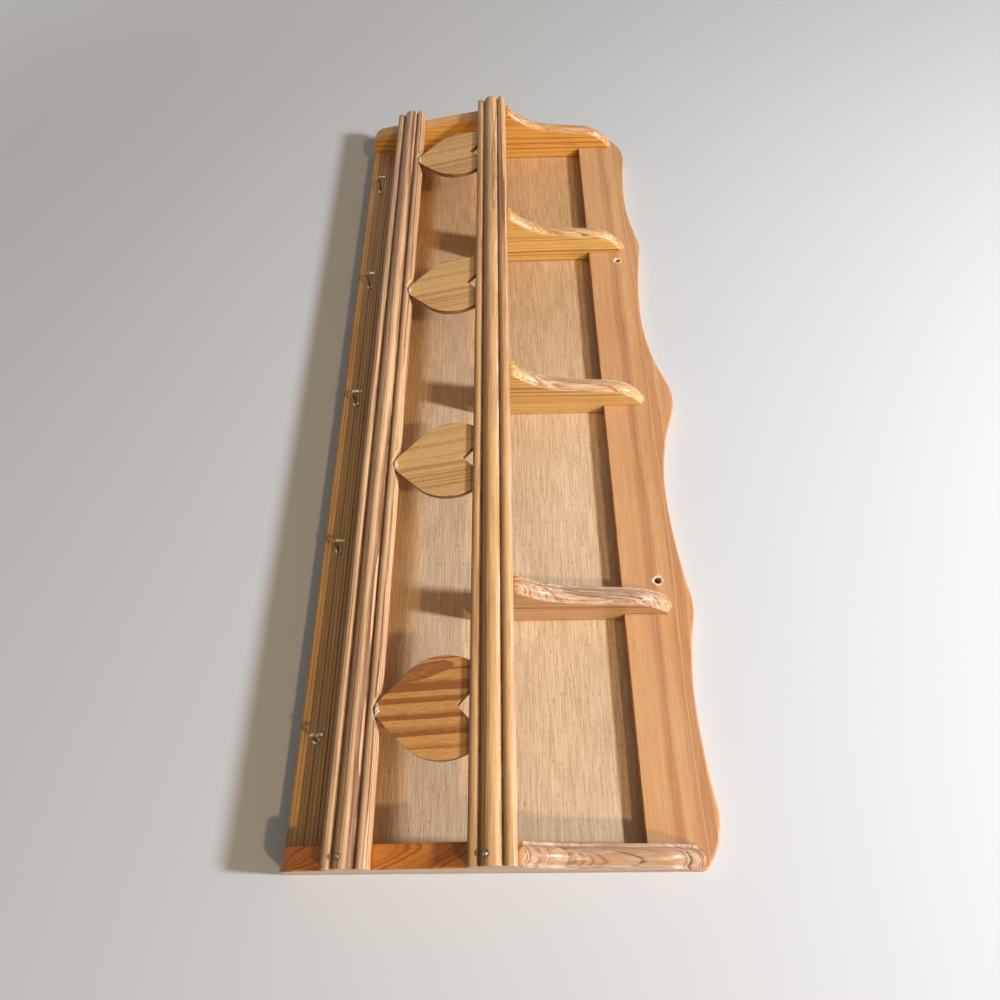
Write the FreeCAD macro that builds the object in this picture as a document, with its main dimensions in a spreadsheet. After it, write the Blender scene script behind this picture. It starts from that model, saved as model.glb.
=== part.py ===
import FreeCAD, Part
import math
import os
import re
import Sketcher

# A wall-hung plate rack of pine, with three dividers, two front mouldings, four hearts and five hooks.
#
# Frame: X runs along the rack, -Y is the front, +Z is up. The origin lies on the wall plane, midway
# between the two screw holes of the top rail. Heights in SIZES are measured up from the bottom edge of
# the rack, depths forward from the wall. Lengths are in millimetres and angles in degrees.
SIZES = {
    # Overall boards
    "rack_length": 800.0,
    "side_thickness": 15.0,         # end panels and dividers
    "rail_thickness": 15.0,         # top rail and hook rail
    "divider_spacing": 209.5,       # between the centres of neighbouring dividers
    "divider_setback": 0.5,         # lower end of a divider above the lower edge of the upper moulding
    "hook_rail_height": 35.0,
    "shelf_thickness": 15.0,
    "top_rail_bottom": 248.2,
    # Back panel and its rabbets
    "back_thickness": 4.0,
    "rail_rabbet": 8.0,
    "side_rabbet": 6.0,
    "back_clearance": 0.4,          # at each edge of the back panel
    # Wavy outer edge of the top rail
    "top_rail_width": 46.7,         # from the lower edge to the valleys
    "end_crest_rise": 5.7,          # each crest's rise above the valleys
    "divider_crest_rise": 9.3,
    "centre_crest_rise": 19.1,
    "end_crest_inset": 34.0,        # from the end of the rack
    "corner_drop": 14.0,            # from the end crest to the corner
    "crest_radius": 62.0,
    "rail_edge_round": 1.8,
    # Wall screws
    "screw_lift": 29.8,             # above the lower edge of the top rail
    "screw_spacing": 376.0,
    "screw_hole": 6.0,
    # Side profile of end panels and dividers
    "base_depth": 34.3,             # where the sloping edge would meet the bottom edge
    "edge_slope": 9.5,
    "foot_radius": 17.0,
    "shoulder_gap": 4.5,            # from the upper moulding up to the shoulder
    "shoulder_radius": 7.0,
    "dip_angle": 38.0,              # how steeply the edge falls behind the shoulder
    "dip_length": 8.8,
    "cove_radius": 75.7,
    "run_angle": 5.0,               # slope of the straight run between cove and nose
    "run_length": 41.2,
    "nose_radius": 46.0,
    # Bead worked along that profile, with a narrow lip at each side
    "lip_width": 1.9,
    "lip_drop": 3.0,
    "bead_set": 0.15,               # crown of the bead below the plain edge
    # Front mouldings
    "lower_moulding_height": 50.4,
    "upper_moulding_height": 144.7,
    "moulding_width": 30.0,
    "bead_width": 6.8,
    "bead_base": 11.1,
    "bead_rise": 1.5,
    "quirk_width": 1.4,
    "quirk_floor": 9.9,
    "round_base": 11.0,
    "round_rise": 4.0,
    # Hearts
    "heart_width": 72.0,
    "heart_thickness": 4.5,
    "heart_setback": 4.0,           # rear face in front of the mouldings' rear faces
    "heart_lobe_radius": 40.0,
    "heart_lobe_height": 46.3,      # lobe centres above the lower moulding
    "heart_tip_width": 9.0,
    "heart_cleft_width": 20.0,
    "heart_cleft_depth": 9.6,
    "heart_pitch": 204.4,
    "heart_shift": -6.2,            # the row of hearts sits a little off centre
    "notch_width": 27.0,
    "notch_depth": 3.5,
    # Hooks
    "hook_pitch": 155.7,
    "hook_shift": 1.6,
    "hook_height": 13.0,
    "hook_reach": 19.5,
    "hook_rise": 9.5,
    "hook_wire": 2.7,
    "hook_bend": 2.4,
    "hook_collar": 5.0,
    "hook_collar_thickness": 1.2,
    "hook_screw": 2.0,
    "hook_screw_length": 10.0,
    # Round-head pins through the mouldings' ends
    "pin_inset": 7.0,
    "pin_drop": 3.0,                # below the middle of the moulding
    "pin_diameter": 1.6,
    "pin_head": 4.2,
    "pin_head_height": 1.5,
    "pin_seat": 14.0,               # underside of the head above the moulding's rear face
    "pin_grip": 12.0,               # length inside the end panel
    # Nails
    "nail_diameter": 1.8,
    "nail_point": 2.4,
    "hole_clearance": 0.1,          # on the diameter of every pin, nail and screw hole
    "point_clearance": 0.5,         # beyond the point of every pin, nail and screw
    "rail_nail_lift": 19.8,         # above the lower edge of the top rail
    "rail_nail_grip": 13.0,
    "divider_nail_inset": 30.0,     # from the upper moulding, and from the top rail
    "divider_nail_grip": 15.0,
    "side_nail_grip": 15.0,
    "hook_rail_nail_depth": 9.5,
    "hook_rail_nail_height": 17.0,
    "shelf_nail_depth": 22.0,
    "back_pin_pitch": 196.0,
    "back_pin_grip": 8.0,
    "back_pin_side_low": 90.0,
    "back_pin_side_high": 190.0,
}

DIVIDERS = {"divider_left": -1, "divider_middle": 0, "divider_right": 1}
HEART_COUNT = 4
HOOK_COUNT = 5
BACK_PINS_PER_ROW = 4

SCREW_HEIGHT = "(top_rail_bottom + screw_lift)"
RAIL_NAIL_HEIGHT = "(top_rail_bottom + rail_nail_lift)"
DIVIDER_BOTTOM = "(upper_moulding_height - moulding_width / 2 * cos(edge_slope) + divider_setback)"
DIVIDER_NAIL_HEIGHTS = (
    "(upper_moulding_height + divider_nail_inset)",
    "(top_rail_bottom - divider_nail_inset)",
)

WORDS = re.compile(r"\b(" + "|".join(sorted(SIZES, key=len, reverse=True)) + r")\b")

document = FreeCAD.newDocument("wall_plate_rack")


def make_sheet():
    """Write every size into the spreadsheet, with its name beside it as the alias."""
    sheet = document.addObject("Spreadsheet::Sheet", "Sizes")
    for row, (name, value) in enumerate(SIZES.items(), start=1):
        sheet.set(f"A{row}", name)
        sheet.set(f"B{row}", str(value))
        sheet.setAlias(f"B{row}", name)
    document.recompute()
    return sheet


sheet = make_sheet()


# Expressions

def bound(expression):
    """Return the expression with each size written as a reference to its cell."""
    return WORDS.sub(r"Sizes.\1", expression)


def number(expression):
    """Work out an expression from the cells, as a plain number."""
    result = sheet.evalExpression(bound(expression))
    return float(getattr(result, "Value", result))


def bind(thing, target, expression):
    """Tie a property or a constraint of an object to an expression of the sizes."""
    thing.setExpression(target, bound(expression))


def plus(*terms):
    """Add expressions."""
    return " + ".join(f"({term})" for term in terms)


def minus(first, second):
    """Subtract the second expression from the first."""
    return f"({first}) - ({second})"


# Bodies, sketches and features

def new_body(label, x="0", y="0", height="0", tilt=None):
    """Make a body whose own zero lies at x, y and a height above the bottom edge of the rack."""
    body = document.addObject("PartDesign::Body", label)
    body.Label = label
    place(body, x, y, height, tilt)
    return body


def place(thing, x="0", y="0", height="0", tilt=None):
    """Bind a placement, with an optional tilt about the X axis."""
    if tilt is not None:
        thing.Placement = FreeCAD.Placement(FreeCAD.Vector(), FreeCAD.Rotation(FreeCAD.Vector(1, 0, 0), 1))
        bind(thing, "Placement.Rotation.Angle", tilt)
    bind(thing, "Placement.Base.x", x)
    bind(thing, "Placement.Base.y", y)
    bind(thing, "Placement.Base.z", minus(height, SCREW_HEIGHT))


def new_sketch(body, name, role, offset="0"):
    """Attach a sketch to an origin plane of its body, lifted along the plane's normal by an offset.

    XZ_Plane faces the front, so its offset is a depth. YZ_Plane faces +X, with -Y to the sketch's left.
    """
    plane = next(item for item in body.Origin.OriginFeatures if item.Role == role)
    sketch = body.newObject("Sketcher::SketchObject", name)
    sketch.AttachmentSupport = [(plane, "")]
    sketch.MapMode = "FlatFace"
    bind(sketch, "AttachmentOffset.Base.z", offset)
    return sketch


def fix_point(sketch, index, position, x, y):
    """Hold one end or centre of a sketch element at bound coordinates."""
    for kind, expression in (("DistanceX", x), ("DistanceY", y)):
        constraint = Sketcher.Constraint(kind, -1, 1, index, position, number(expression))
        bind(sketch, f"Constraints[{sketch.addConstraint(constraint)}]", expression)


def draw_outline(sketch, corners):
    """Draw a closed outline from (x, y, bend) corners.

    The bend belongs to the element that arrives at the corner: None for a line, or (radius, turn) for an
    arc, where turn is +1 for anticlockwise and -1 for clockwise.
    """
    draw_path(sketch, corners + corners[:1])


def draw_path(sketch, corners):
    """Draw lines and arcs from the first corner to the last, each one starting where the last ended."""
    points = [FreeCAD.Vector(number(x), number(y), 0) for x, y, _ in corners]
    ends = []
    for start, end, (_, _, bend) in zip(points, points[1:], corners[1:]):
        if bend is None:
            index = sketch.addGeometry(Part.LineSegment(start, end))
            ends.append((index, 1, 2))
            continue
        radius, turn = bend
        first, last = (start, end) if turn > 0 else (end, start)
        index = sketch.addGeometry(short_arc(first, last, number(radius)))
        constraint = Sketcher.Constraint("Radius", index, number(radius))
        bind(sketch, f"Constraints[{sketch.addConstraint(constraint)}]", radius)
        ends.append((index, 1, 2) if turn > 0 else (index, 2, 1))
    closed = corners[0] == corners[-1]
    for (index, start, _), (x, y, _) in zip(ends, corners):
        fix_point(sketch, index, start, x, y)
    for (index, _, end), (following, start, _) in zip(ends, ends[1:]):
        sketch.addConstraint(Sketcher.Constraint("Coincident", index, end, following, start))
    last_index, _, last_end = ends[-1]
    if closed:
        first_index, first_start, _ = ends[0]
        sketch.addConstraint(Sketcher.Constraint("Coincident", last_index, last_end, first_index, first_start))
    else:
        fix_point(sketch, last_index, last_end, corners[-1][0], corners[-1][1])


def short_arc(start, end, radius):
    """Return the anticlockwise arc of less than half a turn from start to end."""
    chord = end - start
    middle = (start + end) * 0.5
    height = math.sqrt(radius ** 2 - (chord.Length / 2) ** 2)
    left = FreeCAD.Vector(-chord.y, chord.x, 0).normalize()
    centre = middle + left * height
    angles = [math.atan2(point.y - centre.y, point.x - centre.x) for point in (start, end)]
    circle = Part.Circle(centre, FreeCAD.Vector(0, 0, 1), radius)
    return Part.ArcOfCircle(circle, angles[0], angles[1])


def draw_rectangle(sketch, left, bottom, right, top):
    """Draw a rectangle between bound sides."""
    draw_outline(sketch, [(left, bottom, None), (right, bottom, None), (right, top, None), (left, top, None)])


def draw_circle(sketch, x, y, diameter):
    """Draw a circle with a bound centre and diameter."""
    centre = FreeCAD.Vector(number(x), number(y), 0)
    circle = Part.Circle(centre, FreeCAD.Vector(0, 0, 1), number(diameter) / 2)
    index = sketch.addGeometry(circle)
    constraint = Sketcher.Constraint("Diameter", index, number(diameter))
    bind(sketch, f"Constraints[{sketch.addConstraint(constraint)}]", diameter)
    fix_point(sketch, index, 3, x, y)


def pad(body, sketch, length):
    """Raise a sketch along its normal."""
    feature = body.newObject("PartDesign::Pad", sketch.Name + "_pad")
    feature.Profile = sketch
    bind(feature, "Length", length)
    return feature


def cut(body, sketch, depth, along_normal=False):
    """Cut a sketch into the body, against its normal or along it."""
    feature = body.newObject("PartDesign::Pocket", sketch.Name + "_cut")
    feature.Profile = sketch
    feature.Reversed = along_normal
    bind(feature, "Length", depth)
    return feature


def drill(body, name, role, offset, spots, diameter, depth, along_normal=False):
    """Drill straight holes at (x, y) spots of a plane."""
    sketch = new_sketch(body, name, role, offset)
    for x, y in spots:
        draw_circle(sketch, x, y, plus(diameter, "hole_clearance"))
    return cut(body, sketch, depth, along_normal)


def round_edges(body, feature, name, radius, chosen):
    """Fillet the edges of a feature that the chosen test picks."""
    document.recompute()
    edges = [f"Edge{i}" for i, edge in enumerate(feature.Shape.Edges, start=1) if chosen(edge)]
    fillet = body.newObject("PartDesign::Fillet", name)
    fillet.Base = (feature, edges)
    bind(fillet, "Radius", radius)
    return fillet


# Side profile of end panels and dividers, as (depth, height) expressions

def edge_depth(height):
    """Depth of the sloping front edge at a height."""
    return f"(base_depth + ({height}) * tan(edge_slope))"


def step(start, forward, up):
    """Move a (depth, height) point."""
    return (f"({start[0]} + {forward})", f"({start[1]} + {up})")


SHOULDER_HEIGHT = "(upper_moulding_height + moulding_width / 2 * cos(edge_slope) + shoulder_gap)"
SHOULDER = (edge_depth(SHOULDER_HEIGHT), SHOULDER_HEIGHT)
COVE_START = step(SHOULDER, "-dip_length * sin(dip_angle)", "dip_length * cos(dip_angle)")
COVE_END = step(COVE_START, "cove_radius * (cos(dip_angle) - cos(run_angle))",
                "cove_radius * (sin(dip_angle) - sin(run_angle))")
NOSE_START = step(COVE_END, "-run_length * sin(run_angle)", "run_length * cos(run_angle)")
NOSE_CENTRE = step(NOSE_START, "-nose_radius * cos(run_angle)", "-nose_radius * sin(run_angle)")
NOSE_DROP = f"(rail_thickness - {NOSE_CENTRE[0]})"
NOSE_END_HEIGHT = f"({NOSE_CENTRE[1]} + sqrt(nose_radius * nose_radius - {NOSE_DROP} * {NOSE_DROP}))"


def side(depth, height, bend=None):
    """Turn a depth and a height into a corner of a side-view sketch."""
    return (f"-({depth})", height, bend)


def nose_corners():
    """Corners of the ogee from the shoulder down to the face of the top rail and back to its lower edge."""
    return [
        side(*SHOULDER),
        side(*COVE_START),
        side(*COVE_END, ("cove_radius", 1)),
        side(*NOSE_START),
        side("rail_thickness", NOSE_END_HEIGHT, ("nose_radius", -1)),
        side("rail_thickness", "top_rail_bottom"),
    ]


def round_shoulder(body, feature):
    """Round the shoulder between the sloping edge and the ogee."""
    depth, height = (number(expression) for expression in SHOULDER)

    def at_shoulder(edge):
        middle = edge.CenterOfMass
        return abs(middle.y + depth) < 0.01 and abs(middle.z - height) < 0.01

    return round_edges(body, feature, body.Name + "_shoulder", "shoulder_radius", at_shoulder)


def work_bead(body):
    """Cut the bead and its two lips along the ogee, by sweeping the cutter's section along the edge."""
    section = new_sketch(body, body.Name + "_bead_section", "XY_Plane")
    section.AttachmentOffset = FreeCAD.Placement(
        FreeCAD.Vector(), FreeCAD.Rotation(FreeCAD.Vector(1, 0, 0), -number("dip_angle")))
    bind(section, "AttachmentOffset.Base.y", f"-{SHOULDER[0]}")
    bind(section, "AttachmentOffset.Base.z", SHOULDER[1])
    bind(section, "AttachmentOffset.Rotation.Angle", "-dip_angle")
    crown = "(side_thickness / 2 - lip_width)"
    rise = "(lip_drop - bead_set)"
    radius = f"({crown} * {crown} + {rise} * {rise}) / (2 * {rise})"
    overshoot = "lip_width"
    draw_outline(section, [
        (f"-{overshoot}", "lip_drop", None),
        (f"-{overshoot}", f"-{overshoot}", None),
        (f"side_thickness + {overshoot}", f"-{overshoot}", None),
        (f"side_thickness + {overshoot}", "lip_drop", None),
        ("side_thickness - lip_width", "lip_drop", None),
        ("side_thickness / 2", "bead_set", (radius, -1)),
        ("lip_width", "lip_drop", (radius, -1)),
    ])
    path = new_sketch(body, body.Name + "_bead_path", "YZ_Plane", "side_thickness / 2")
    draw_path(path, [
        side(*SHOULDER),
        side(*COVE_START),
        side(*COVE_END, ("cove_radius", 1)),
        side(*NOSE_START),
        side(NOSE_CENTRE[0], plus(NOSE_CENTRE[1], "nose_radius"), ("nose_radius", -1)),
    ])
    document.recompute()
    sweep = body.newObject("PartDesign::SubtractivePipe", body.Name + "_bead")
    sweep.Profile = section
    sweep.Spine = (path, [f"Edge{i}" for i in range(1, len(path.Geometry) + 1)])
    return sweep


# Boards

def make_end_panel(label, right):
    """Make an end panel: side profile, bead, rabbet for the back panel, and pin and nail holes."""
    start = "rack_length / 2 - side_thickness" if right else "-rack_length / 2"
    body = new_body(label, x=start)
    profile = new_sketch(body, label + "_profile", "YZ_Plane")
    foot = "(foot_radius * tan((90 - edge_slope) / 2))"
    draw_outline(profile, [
        side("0", "0"),
        side(f"base_depth - {foot}", "0"),
        side(f"base_depth + {foot} * sin(edge_slope)", f"{foot} * cos(edge_slope)", ("foot_radius", -1)),
        *nose_corners(),
        side("0", "top_rail_bottom"),
    ])
    round_shoulder(body, pad(body, profile, "side_thickness"))
    work_bead(body)
    rabbet = new_sketch(body, label + "_rabbet", "XZ_Plane")
    inner = "0" if right else "side_thickness - side_rabbet"
    draw_rectangle(rabbet, inner, "hook_rail_height - rail_rabbet", plus(inner, "side_rabbet"), "top_rail_bottom")
    cut(body, rabbet, "back_thickness", along_normal=True)
    rabbet_middle = plus(inner, "side_rabbet / 2")
    drill(body, label + "_back_pin_holes", "XZ_Plane", "back_thickness",
          [(rabbet_middle, "back_pin_side_low"), (rabbet_middle, "back_pin_side_high")],
          "nail_diameter", "back_pin_grip + point_clearance", along_normal=True)
    drill(body, label + "_rail_nail_hole", "XZ_Plane", "rail_thickness",
          [("side_thickness / 2", RAIL_NAIL_HEIGHT)],
          "nail_diameter", "rail_nail_grip + point_clearance", along_normal=True)
    drill(body, label + "_side_nail_holes", "YZ_Plane", "0", SIDE_NAIL_SPOTS,
          "nail_diameter", "side_thickness", along_normal=True)
    for name, height in (("lower", "lower_moulding_height"), ("upper", "upper_moulding_height")):
        drill_for_pin(body, f"{label}_{name}_pin_hole", height, right)
    return body


SIDE_NAIL_SPOTS = [
    ("-hook_rail_nail_depth", "hook_rail_nail_height"),
    ("-shelf_nail_depth", "hook_rail_height + shelf_thickness / 2"),
]


def drill_for_pin(body, name, moulding_height, right):
    """Drill the sloping front edge of an end panel for one moulding pin."""
    front = next(item for item in body.Origin.OriginFeatures if item.Role == "XZ_Plane")
    hole = body.newObject("PartDesign::SubtractiveCylinder", name)
    hole.AttachmentSupport = [(front, "")]
    hole.MapMode = "FlatFace"
    hole.AttachmentOffset = FreeCAD.Placement(
        FreeCAD.Vector(), FreeCAD.Rotation(FreeCAD.Vector(1, 0, 0), number("edge_slope")))
    deep = "(pin_grip + point_clearance)"
    height = f"({moulding_height} - pin_drop * cos(edge_slope))"
    bind(hole, "Radius", "(pin_diameter + hole_clearance) / 2")
    bind(hole, "Height", f"{deep} + point_clearance")
    bind(hole, "AttachmentOffset.Rotation.Angle", "edge_slope")
    bind(hole, "AttachmentOffset.Base.x", "side_thickness - pin_inset" if right else "pin_inset")
    bind(hole, "AttachmentOffset.Base.y", f"{height} + {deep} * sin(edge_slope)")
    bind(hole, "AttachmentOffset.Base.z", f"{edge_depth(height)} - {deep} * cos(edge_slope)")
    return hole


def make_divider(label, place_number):
    """Make a divider: it starts behind the upper moulding and ends in the same ogee as the end panels."""
    body = new_body(label, x=f"{place_number} * divider_spacing - side_thickness / 2")
    profile = new_sketch(body, label + "_profile", "YZ_Plane")
    draw_outline(profile, [
        side("back_thickness", DIVIDER_BOTTOM),
        side(edge_depth(DIVIDER_BOTTOM), DIVIDER_BOTTOM),
        *nose_corners(),
        side("back_thickness", "top_rail_bottom"),
    ])
    round_shoulder(body, pad(body, profile, "side_thickness"))
    work_bead(body)
    drill(body, label + "_back_nail_holes", "XZ_Plane", "back_thickness",
          [("side_thickness / 2", height) for height in DIVIDER_NAIL_HEIGHTS],
          "nail_diameter", "divider_nail_grip + point_clearance", along_normal=True)
    drill(body, label + "_rail_nail_hole", "XZ_Plane", "rail_thickness",
          [("side_thickness / 2", RAIL_NAIL_HEIGHT)],
          "nail_diameter", "rail_nail_grip + point_clearance", along_normal=True)
    return body


def wave(high, low):
    """Corners where the edge leaves a crest and where it reaches the valley beside it.

    Both are (distance from the middle of the rack, height). The crest's arc and the valley's arc touch
    each other, so the radius of the valley follows from the two points and the radius of the crest.
    """
    across = f"({low[0]} - {high[0]})"
    down = f"({high[1]} - {low[1]})"
    both = f"(({across} * {across} + {down} * {down}) / (2 * {down}))"
    joint = (f"({high[0]} + crest_radius * {across} / {both})", f"({high[1]} - crest_radius * {down} / {both})")
    return joint, f"({both} - crest_radius)"


def wavy_edge():
    """Corners of the outer edge of the top rail, from its right end over the crests to its left end."""
    valley = "(top_rail_bottom + top_rail_width)"
    end_crest = ("(rack_length / 2 - end_crest_inset)", f"({valley} + end_crest_rise)")
    outer_valley = ("((rack_length / 2 - end_crest_inset + divider_spacing) / 2)", valley)
    divider_crest = ("divider_spacing", f"({valley} + divider_crest_rise)")
    inner_valley = ("(divider_spacing / 2)", valley)
    centre_crest = ("0", f"({valley} + centre_crest_rise)")
    corner_radius = "((end_crest_inset * end_crest_inset + corner_drop * corner_drop) / (2 * corner_drop))"
    corners = [("rack_length / 2", f"{end_crest[1]} - corner_drop", None), (*end_crest, (corner_radius, 1))]
    for high, low, falling in (
        (end_crest, outer_valley, True),
        (divider_crest, outer_valley, False),
        (divider_crest, inner_valley, True),
        (centre_crest, inner_valley, False),
    ):
        joint, valley_radius = wave(high, low)
        if falling:
            corners += [(*joint, ("crest_radius", 1)), (*low, (valley_radius, -1))]
        else:
            corners += [(*joint, (valley_radius, -1)), (*high, ("crest_radius", 1))]
    bends = [bend for _, _, bend in corners[1:]] + [None]
    mirrored = [(f"-{x}", y, bend) for (x, y, _), bend in zip(corners, bends)]
    return corners + mirrored[-2::-1]


def make_top_rail():
    """Make the top rail: wavy edge, rabbet for the back panel, screw holes and nail holes."""
    body = new_body("top_rail")
    outline = new_sketch(body, "top_rail_outline", "XZ_Plane")
    draw_outline(outline, [
        ("-rack_length / 2", "top_rail_bottom", None),
        ("rack_length / 2", "top_rail_bottom", None),
        *wavy_edge(),
    ])
    board = pad(body, outline, "rail_thickness")
    front = -number("rail_thickness")
    lowest = number("top_rail_bottom") + number("rail_edge_round")

    def on_front_rim(edge):
        in_front = all(abs(vertex.Y - front) < 0.01 for vertex in edge.Vertexes)
        return in_front and all(vertex.Z > lowest for vertex in edge.Vertexes)

    round_edges(body, board, "top_rail_edge", "rail_edge_round", on_front_rim)
    rabbet = new_sketch(body, "top_rail_rabbet", "XZ_Plane")
    half = "(rack_length / 2 - side_thickness + side_rabbet)"
    draw_rectangle(rabbet, f"-{half}", "top_rail_bottom - rail_rabbet", half, "top_rail_bottom + rail_rabbet")
    cut(body, rabbet, "back_thickness", along_normal=True)
    screws = new_sketch(body, "top_rail_screw_holes", "XZ_Plane")
    for way in ("-", ""):
        draw_circle(screws, f"{way}screw_spacing / 2", SCREW_HEIGHT, "screw_hole")
    cut(body, screws, "rail_thickness", along_normal=True)
    drill(body, "top_rail_nail_holes", "XZ_Plane", "0", [(x, RAIL_NAIL_HEIGHT) for x in RAIL_NAILS],
          "nail_diameter", "rail_thickness", along_normal=True)
    drill(body, "top_rail_back_pin_holes", "XZ_Plane", "back_thickness",
          [(x, "top_rail_bottom + rail_rabbet / 2") for x in back_pin_row()],
          "nail_diameter", "back_pin_grip + point_clearance", along_normal=True)
    return body


RAIL_NAILS = [
    "-(rack_length - side_thickness) / 2",
    *[f"{place_number} * divider_spacing" for place_number in DIVIDERS.values()],
    "(rack_length - side_thickness) / 2",
]


def back_pin_row():
    """X positions of the back panel's pins along a rail."""
    middle = (BACK_PINS_PER_ROW - 1) / 2
    return [f"{i - middle} * back_pin_pitch" for i in range(BACK_PINS_PER_ROW)]


def hook_places():
    """X positions of the hooks."""
    middle = (HOOK_COUNT - 1) / 2
    return [f"{i - middle} * hook_pitch + hook_shift" for i in range(HOOK_COUNT)]


def heart_places():
    """X positions of the hearts' middles."""
    middle = (HEART_COUNT - 1) / 2
    return [f"{i - middle} * heart_pitch + heart_shift" for i in range(HEART_COUNT)]


def make_hook_rail():
    """Make the hook rail, a plain board between the end panels."""
    body = new_body("hook_rail")
    outline = new_sketch(body, "hook_rail_outline", "XZ_Plane")
    half = "(rack_length / 2 - side_thickness)"
    draw_rectangle(outline, f"-{half}", "0", half, "hook_rail_height")
    pad(body, outline, "rail_thickness")
    rabbet = new_sketch(body, "hook_rail_rabbet", "XZ_Plane")
    draw_rectangle(rabbet, f"-{half}", "hook_rail_height - rail_rabbet", half, "hook_rail_height + rail_rabbet")
    cut(body, rabbet, "back_thickness", along_normal=True)
    drill(body, "hook_rail_hook_holes", "XZ_Plane", "rail_thickness", [(x, "hook_height") for x in hook_places()],
          "hook_screw", "hook_screw_length + point_clearance")
    drill(body, "hook_rail_back_pin_holes", "XZ_Plane", "back_thickness",
          [(x, "hook_rail_height - rail_rabbet / 2") for x in back_pin_row()],
          "nail_diameter", "back_pin_grip + point_clearance", along_normal=True)
    drill_board_ends(body, "hook_rail", SIDE_NAIL_SPOTS[0])
    return body


def drill_board_ends(body, name, spot):
    """Drill a nail hole into each end of a board that lies between the end panels."""
    half = "(rack_length / 2 - side_thickness)"
    depth = "side_nail_grip + point_clearance"
    drill(body, name + "_left_nail_hole", "YZ_Plane", f"-{half}", [spot], "nail_diameter", depth, along_normal=True)
    drill(body, name + "_right_nail_hole", "YZ_Plane", half, [spot], "nail_diameter", depth)


def make_shelf_board():
    """Make the board that the plates stand on, bevelled to meet the back of the lower moulding."""
    body = new_body("shelf_board", x="side_thickness - rack_length / 2")
    section = new_sketch(body, "shelf_section", "YZ_Plane")
    top = "hook_rail_height + shelf_thickness"
    draw_outline(section, [
        side("back_thickness", "hook_rail_height"),
        side(edge_depth("hook_rail_height"), "hook_rail_height"),
        side(edge_depth(top), top),
        side("back_thickness", top),
    ])
    length = "rack_length - 2 * side_thickness"
    pad(body, section, length)
    depth = "side_nail_grip + point_clearance"
    spot = [SIDE_NAIL_SPOTS[1]]
    drill(body, "shelf_left_nail_hole", "YZ_Plane", "0", spot, "nail_diameter", depth, along_normal=True)
    drill(body, "shelf_right_nail_hole", "YZ_Plane", length, spot, "nail_diameter", depth)
    return body


def make_back_panel():
    """Make the thin back panel, which lies in rabbets all round."""
    body = new_body("back_panel")
    outline = new_sketch(body, "back_panel_outline", "XZ_Plane")
    half = "(rack_length / 2 - side_thickness + side_rabbet - back_clearance)"
    draw_rectangle(outline, f"-{half}", "hook_rail_height - rail_rabbet + back_clearance",
                   half, "top_rail_bottom + rail_rabbet - back_clearance")
    pad(body, outline, "back_thickness")
    drill(body, "back_panel_pin_holes", "XZ_Plane", "0", BACK_PIN_SPOTS,
          "nail_diameter", "back_thickness", along_normal=True)
    drill(body, "back_panel_nail_holes", "XZ_Plane", "0", DIVIDER_NAIL_SPOTS,
          "nail_diameter", "back_thickness", along_normal=True)
    return body


RABBET_MIDDLE = "(rack_length / 2 - side_thickness + side_rabbet / 2)"
BACK_PIN_SPOTS = [
    *[(x, "top_rail_bottom + rail_rabbet / 2") for x in back_pin_row()],
    *[(x, "hook_rail_height - rail_rabbet / 2") for x in back_pin_row()],
    *[(f"{way}{RABBET_MIDDLE}", height) for way in ("-", "") for height in ("back_pin_side_low", "back_pin_side_high")],
]
DIVIDER_NAIL_SPOTS = [
    (f"{place_number} * divider_spacing", height)
    for place_number in DIVIDERS.values()
    for height in DIVIDER_NAIL_HEIGHTS
]


# Front mouldings and hearts, in the tilted frame of the sloping edge: depth from their rear faces, and
# height along the slope

def arc_radius(width, rise):
    """Radius of the arc over a chord of a width that rises by a given amount."""
    return f"((({width}) * ({width}) / 4 + {rise} * {rise}) / (2 * {rise}))"


def moulding_section():
    """Corners of the section: a bead, a quirk, a large round, a quirk and a bead."""
    edge = "moulding_width / 2"
    bead_end = f"({edge} - bead_width)"
    round_end = f"({bead_end} - quirk_width)"
    bead = (arc_radius("bead_width", "bead_rise"), -1)
    large = (arc_radius(f"2 * {round_end}", "round_rise"), -1)
    return [
        side("0", f"-{edge}"),
        side("bead_base", f"-{edge}"),
        side("bead_base", f"-{bead_end}", bead),
        side("quirk_floor", f"-{bead_end}"),
        side("quirk_floor", f"-{round_end}"),
        side("round_base", f"-{round_end}"),
        side("round_base", round_end, large),
        side("quirk_floor", round_end),
        side("quirk_floor", bead_end),
        side("bead_base", bead_end),
        side("bead_base", edge, bead),
        side("0", edge),
    ]


def make_moulding(label, height, notched):
    """Make a front moulding with its pin holes and, on the lower one, a notch for each heart's tip."""
    body = new_body(label, y=f"-{edge_depth(height)}", height=height, tilt="edge_slope")
    section = new_sketch(body, label + "_section", "YZ_Plane", "-rack_length / 2")
    draw_outline(section, moulding_section())
    pad(body, section, "rack_length")
    if notched:
        notches = new_sketch(body, label + "_notches", "XZ_Plane")
        for x in heart_places():
            draw_outline(notches, [
                (x, "moulding_width / 2 - notch_depth", None),
                (f"{x} + notch_width / 2", "moulding_width / 2", None),
                (f"{x} + notch_width / 2", "moulding_width / 2 + notch_depth", None),
                (f"{x} - notch_width / 2", "moulding_width / 2 + notch_depth", None),
                (f"{x} - notch_width / 2", "moulding_width / 2", None),
            ])
        cut(body, notches, "bead_base + bead_rise", along_normal=True)
    spots = [("-rack_length / 2 + pin_inset", "-pin_drop"), ("rack_length / 2 - pin_inset", "-pin_drop")]
    drill(body, label + "_pin_holes", "XZ_Plane", "0", spots, "pin_diameter", "pin_seat", along_normal=True)
    drill(body, label + "_pin_seats", "XZ_Plane", "pin_seat", spots, "pin_head", "round_rise", along_normal=True)
    return body


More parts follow.
